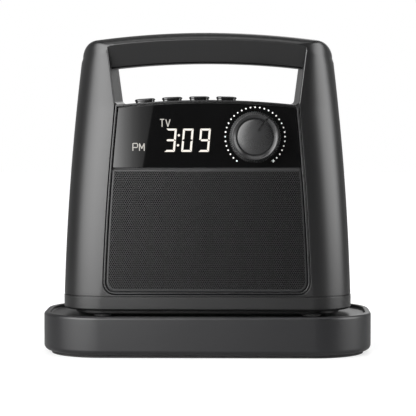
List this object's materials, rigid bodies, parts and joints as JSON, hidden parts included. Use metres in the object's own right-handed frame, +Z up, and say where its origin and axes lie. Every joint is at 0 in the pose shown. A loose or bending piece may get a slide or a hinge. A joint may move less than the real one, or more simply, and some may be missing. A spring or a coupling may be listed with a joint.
{
  "type": "tabletop radio",
  "caption": "Portable table speaker with clock display, volume knob, deck buttons and a built-in carrying handle, standing in a shallow charging cradle.",
  "frame": {"origin": "on the table, under the middle of the cradle", "axes": "+Z up, +Y from the front face to the rear, +X to the right seen from the front"},
  "size_m": [0.2174, 0.1, 0.2114],
  "materials": {
    "housing": "fine satin texture, charcoal",
    "cradle_plastic": "fine satin texture, charcoal",
    "bezel_trim": "satin, slightly lighter than the housing",
    "inner_plastic": "plain moulded black",
    "gloss_panel": "polished black",
    "grille_metal": "powder-coated perforated sheet",
    "cloth": "thin black speaker cloth",
    "knob_plastic": "satin with a soft sheen",
    "button_gloss": "polished black",
    "foot_rubber": "matte",
    "steel": "zinc plated",
    "screw_steel": "zinc plated",
    "magnet": "ferrite",
    "cone_paper": "coated paper",
    "circuit_board": "solder mask",
    "battery_wrap": "heat-shrink sleeve",
    "contact_metal": "gold plated"
  },
  "bodies": {
    "cradle": {"base_tray": "cradle_plastic", "base_plate": "inner_plastic", "base_foot": "foot_rubber", "base_board": "circuit_board", "dc_jack": "inner_plastic", "pin_block": "inner_plastic", "base_screws": "screw_steel"},
    "speaker_unit": {"front_shell": "housing", "rear_shell": "housing", "bottom_cover": "housing", "unit_feet": "foot_rubber", "bezel": "bezel_trim", "baffle": "inner_plastic", "display_panel": "gloss_panel", "display_module": "inner_plastic", "grille": "grille_metal", "grille_cloth": "cloth", "speaker_basket": "steel", "speaker_cone": "cone_paper", "speaker_magnet": "magnet", "driver_screws": "screw_steel", "main_board": "circuit_board", "volume_control": "steel", "button_board": "circuit_board", "button_switches": "steel", "battery_tray": "inner_plastic", "battery_pack": "battery_wrap", "headphone_jack": "inner_plastic", "contact_pads": "contact_metal", "shell_screws": "screw_steel", "cover_screws": "screw_steel"},
    "volume_knob": {"volume_shaft": "steel", "knob": "knob_plastic", "knob_cap": "knob_plastic"},
    "battery_cover": {"battery_door": "housing"},
    "button_1": {"button_1": "button_gloss"},
    "button_2": {"button_2": "button_gloss"},
    "button_3": {"button_3": "button_gloss"},
    "button_4": {"button_4": "button_gloss"},
    "pin_left": {"charge_pin_left": "contact_metal"},
    "pin_right": {"charge_pin_right": "contact_metal"}
  },
  "joints": [
    {"name": "lift_off", "type": "slide", "parent": "cradle", "child": "speaker_unit", "axis": [0, 0, 1], "range_m": [0, 0.05]},
    {"name": "volume_turn", "type": "hinge", "parent": "speaker_unit", "child": "volume_knob", "pos_m": [0.03152, -0.03197, 0.14322], "axis": [0, -0.9994, 0.0349], "range_deg": [-108.8, 176.2]},
    {"name": "battery_door_hinge", "type": "hinge", "parent": "speaker_unit", "child": "battery_cover", "pos_m": [0, 0.03412, 0.04631], "axis": [-1, 0, 0], "range_deg": [0, 80]},
    {"name": "press_1", "type": "slide", "parent": "speaker_unit", "child": "button_1", "axis": [0.0755, 0, -0.9971], "range_m": [0, 0.0008], "stiffness_N_per_m": 300, "springref_m": -0.0005},
    {"name": "press_2", "type": "slide", "parent": "speaker_unit", "child": "button_2", "axis": [0.0425, 0, -0.9991], "range_m": [0, 0.0008], "stiffness_N_per_m": 300, "springref_m": -0.0005},
    {"name": "press_3", "type": "slide", "parent": "speaker_unit", "child": "button_3", "axis": [0.0095, 0, -1], "range_m": [0, 0.0008], "stiffness_N_per_m": 300, "springref_m": -0.0005},
    {"name": "press_4", "type": "slide", "parent": "speaker_unit", "child": "button_4", "axis": [-0.0234, 0, -0.9997], "range_m": [0, 0.0008], "stiffness_N_per_m": 300, "springref_m": -0.0005},
    {"name": "pin_press_left", "type": "slide", "parent": "cradle", "child": "pin_left", "axis": [0, 0, -1], "range_m": [0, 0.001], "stiffness_N_per_m": 400, "springref_m": -0.0005},
    {"name": "pin_press_right", "type": "slide", "parent": "cradle", "child": "pin_right", "axis": [0, 0, -1], "range_m": [0, 0.001], "stiffness_N_per_m": 400, "springref_m": -0.0005}
  ]
}
